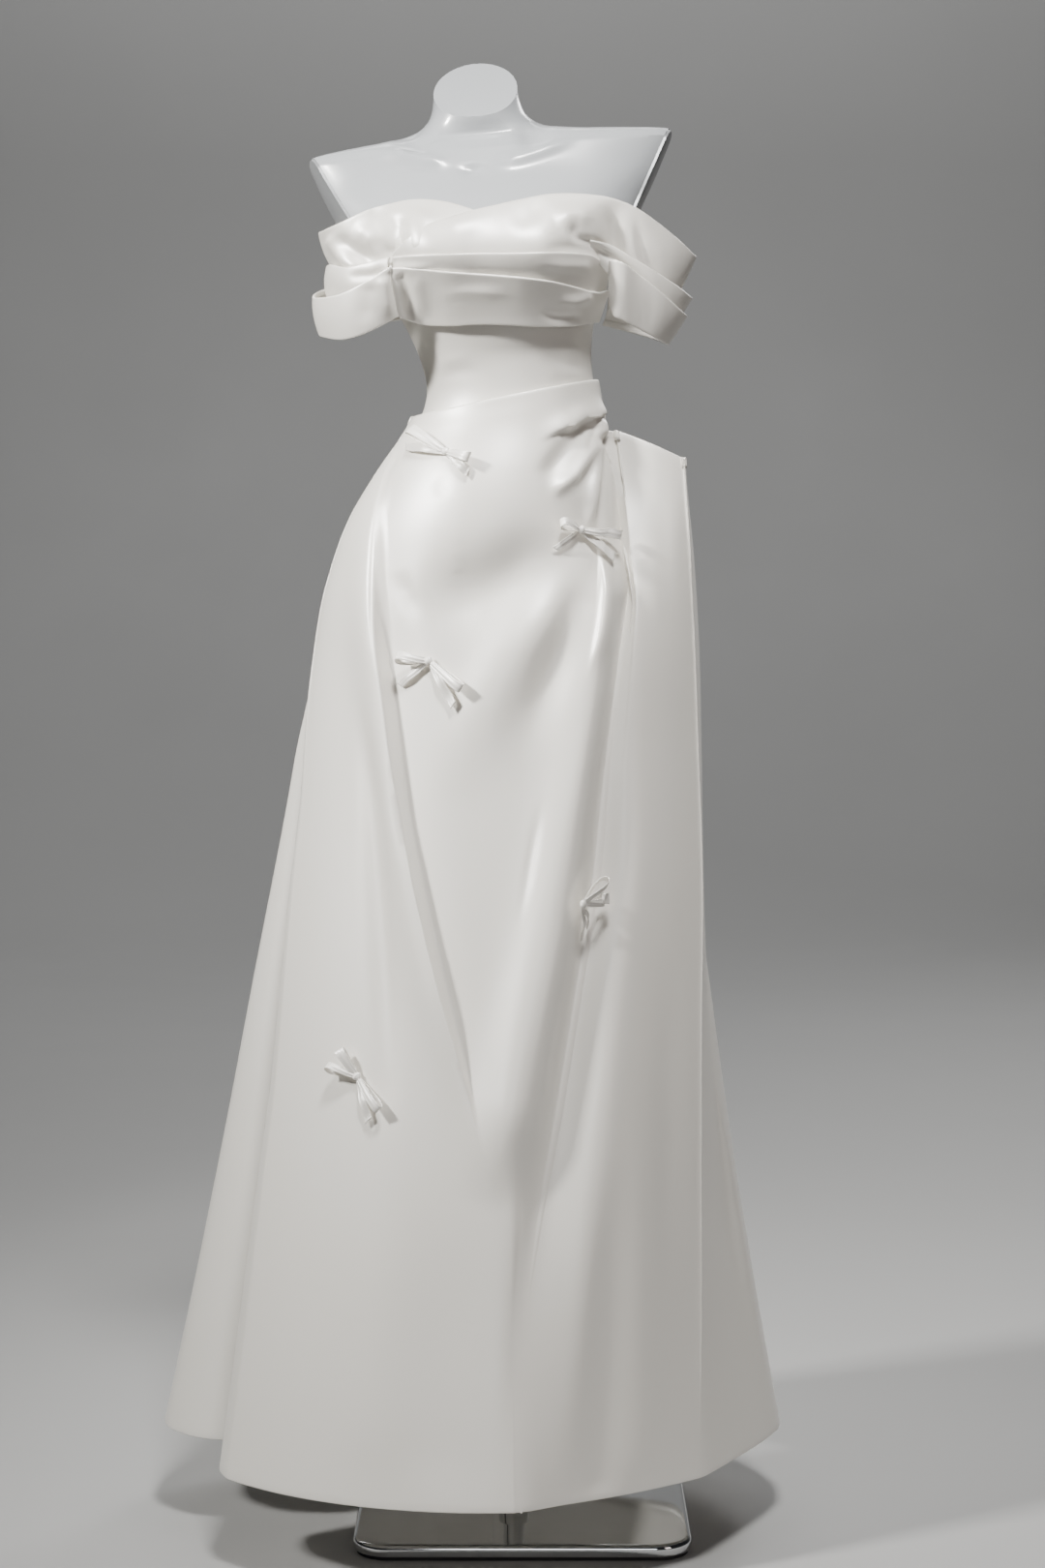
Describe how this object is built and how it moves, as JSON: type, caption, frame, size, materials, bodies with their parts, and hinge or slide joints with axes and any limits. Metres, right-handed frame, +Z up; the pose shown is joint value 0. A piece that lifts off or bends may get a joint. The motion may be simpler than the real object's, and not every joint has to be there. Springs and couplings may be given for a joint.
{
  "type": "wedding dress on a dress form",
  "caption": "Off-shoulder satin gown with a crossed, pleated collar, swag-draped front, square hip panel and ribbon bows, on a limbless form with a pole and a chrome base.",
  "frame": {"origin": "centre of the flat underside of the stand's base", "axes": "+Z up the pole; the front of the dress faces -Y; +X is on the right of someone looking at the front"},
  "size_m": [0.728, 0.6207, 1.6866],
  "materials": {
    "ivory_satin": "heavy duchess satin with a soft sheen",
    "white_gloss": "glossy white lacquer",
    "grey_cap": "satin grey",
    "chrome": "polished",
    "black_rubber": "matt"
  },
  "bodies": {
    "root": {"bodice_front": "ivory_satin", "bodice_back_left": "ivory_satin", "bodice_back_right": "ivory_satin", "wrap_left": "ivory_satin", "wrap_right": "ivory_satin", "bust_pleat": "ivory_satin", "bust_band": "ivory_satin", "left_sleeve_middle": "ivory_satin", "left_sleeve_lower": "ivory_satin", "right_sleeve_middle": "ivory_satin", "right_sleeve_lower": "ivory_satin", "collar_back_upper": "ivory_satin", "collar_back_middle": "ivory_satin", "collar_back_lower": "ivory_satin", "skirt_front": "ivory_satin", "side_panel": "ivory_satin", "skirt_back_left": "ivory_satin", "skirt_back_right": "ivory_satin", "bow_1": "ivory_satin", "bow_2": "ivory_satin", "bow_3": "ivory_satin", "bow_4": "ivory_satin", "bow_5": "ivory_satin", "form_torso": "white_gloss", "arm_cap_left": "grey_cap", "arm_cap_right": "grey_cap", "form_fitting": "chrome", "pole": "chrome", "pole_socket": "chrome", "base_plate": "chrome", "base_pad": "black_rubber"}
  },
  "joints": []
}
